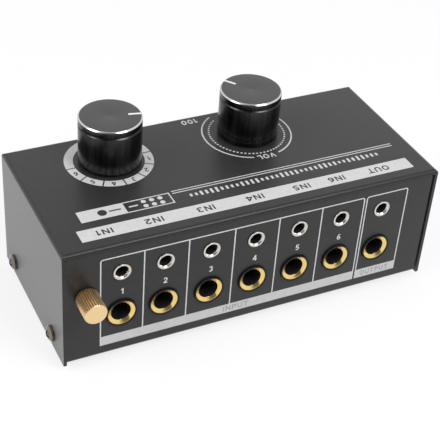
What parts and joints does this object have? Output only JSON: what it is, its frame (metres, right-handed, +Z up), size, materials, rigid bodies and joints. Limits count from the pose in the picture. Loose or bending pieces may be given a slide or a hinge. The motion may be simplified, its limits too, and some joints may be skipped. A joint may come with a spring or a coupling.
{
  "type": "audio source selector",
  "caption": "Black steel desktop audio switch box with paired large and small jack sockets along one panel, a rotary source selector knob, a volume knob and a knurled ground terminal.",
  "frame": {"origin": "on the table under the middle of the whole part's bounding box, thumb nut and screw heads included", "axes": "+X along the jack panel towards the output column, -Y out of the jack panel, +Z up through the knobs"},
  "size_m": [0.1546, 0.0772, 0.0715],
  "materials": {
    "case_paint": "satin black powder coat",
    "screw_nickel": "bright nickel plate",
    "foot_rubber": "matt",
    "board_laminate": "green solder mask",
    "spacer_brass": "turned",
    "jack_plastic": "moulded, black",
    "ferrule_gilt": "gilt, polished",
    "spring_metal": "sheet",
    "bush_nickel": "nickel plate, polished",
    "switch_metal": "plated",
    "switch_plastic": "moulded, black",
    "phenolic": "paper laminate",
    "contact_brass": "stamped",
    "knob_shell": "black anodised, turned, bright bevel",
    "knob_core": "moulded, black",
    "ground_brass": "turned and knurled",
    "cable_grey": "flat cable"
  },
  "bodies": {
    "case": {"chassis": "case_paint", "cover": "case_paint", "side_screws": "screw_nickel", "feet": "foot_rubber", "board_screws": "screw_nickel", "floor_spacers": "spacer_brass", "board_spacers": "spacer_brass", "jack_board": "board_laminate", "mini_jack_board": "board_laminate", "board_pins": "contact_brass", "jack_springs": "spring_metal", "mini_jack_bushings": "bush_nickel", "mini_jack_springs": "spring_metal", "switch_bushing": "switch_metal", "switch_housing": "switch_plastic", "switch_wafer": "phenolic", "switch_terminals": "contact_brass", "detent_ball": "switch_metal", "detent_spring": "spring_metal", "bushing_washers": "switch_metal", "bushing_nuts": "switch_metal", "pot_bushing": "switch_metal", "pot_can": "switch_metal", "pot_track": "phenolic", "pot_terminals": "contact_brass", "ground_stud": "ground_brass", "ground_lock_nut": "ground_brass", "selector_ribbon": "cable_grey", "volume_ribbon": "cable_grey", "jack_body_1": "jack_plastic", "jack_ferrule_1": "ferrule_gilt", "mini_jack_body_1": "jack_plastic", "jack_body_2": "jack_plastic", "jack_ferrule_2": "ferrule_gilt", "mini_jack_body_2": "jack_plastic", "jack_body_3": "jack_plastic", "jack_ferrule_3": "ferrule_gilt", "mini_jack_body_3": "jack_plastic", "jack_body_4": "jack_plastic", "jack_ferrule_4": "ferrule_gilt", "mini_jack_body_4": "jack_plastic", "jack_body_5": "jack_plastic", "jack_ferrule_5": "ferrule_gilt", "mini_jack_body_5": "jack_plastic", "jack_body_6": "jack_plastic", "jack_ferrule_6": "ferrule_gilt", "mini_jack_body_6": "jack_plastic", "jack_body_out": "jack_plastic", "jack_ferrule_out": "ferrule_gilt", "mini_jack_body_out": "jack_plastic"},
    "selector": {"selector_knob": "knob_shell", "selector_knob_insert": "knob_core", "switch_rotor": "switch_metal", "switch_wiper": "contact_brass"},
    "volume": {"volume_knob": "knob_shell", "volume_knob_insert": "knob_core", "pot_shaft": "switch_metal", "pot_wiper": "contact_brass"},
    "ground_washer": {"ground_washer": "screw_nickel"},
    "ground_nut": {"ground_thumb_nut": "ground_brass"}
  },
  "joints": [
    {"name": "selector_turn", "type": "hinge", "parent": "case", "child": "selector", "pos_m": [-0.0393, 0.02005, 0.05], "axis": [0, 0, -1], "range_deg": [0, 150]},
    {"name": "volume_turn", "type": "hinge", "parent": "case", "child": "volume", "pos_m": [0.0177, 0.02005, 0.05], "axis": [0, 0, -1], "range_deg": [-293, 7]},
    {"name": "ground_washer_slide", "type": "slide", "parent": "case", "child": "ground_washer", "axis": [0, -1, 0], "range_m": [0, 0.0028]},
    {"name": "ground_nut_turn", "type": "hinge", "parent": "ground_washer", "child": "ground_nut", "pos_m": [-0.0666, -0.03325, 0.0328], "axis": [0, -1, 0], "range_deg": [0, 1440]}
  ],
  "couplings": [
    {"joint": "ground_nut_turn", "follows": "ground_washer_slide", "rad_per_m": 8975.9}
  ]
}
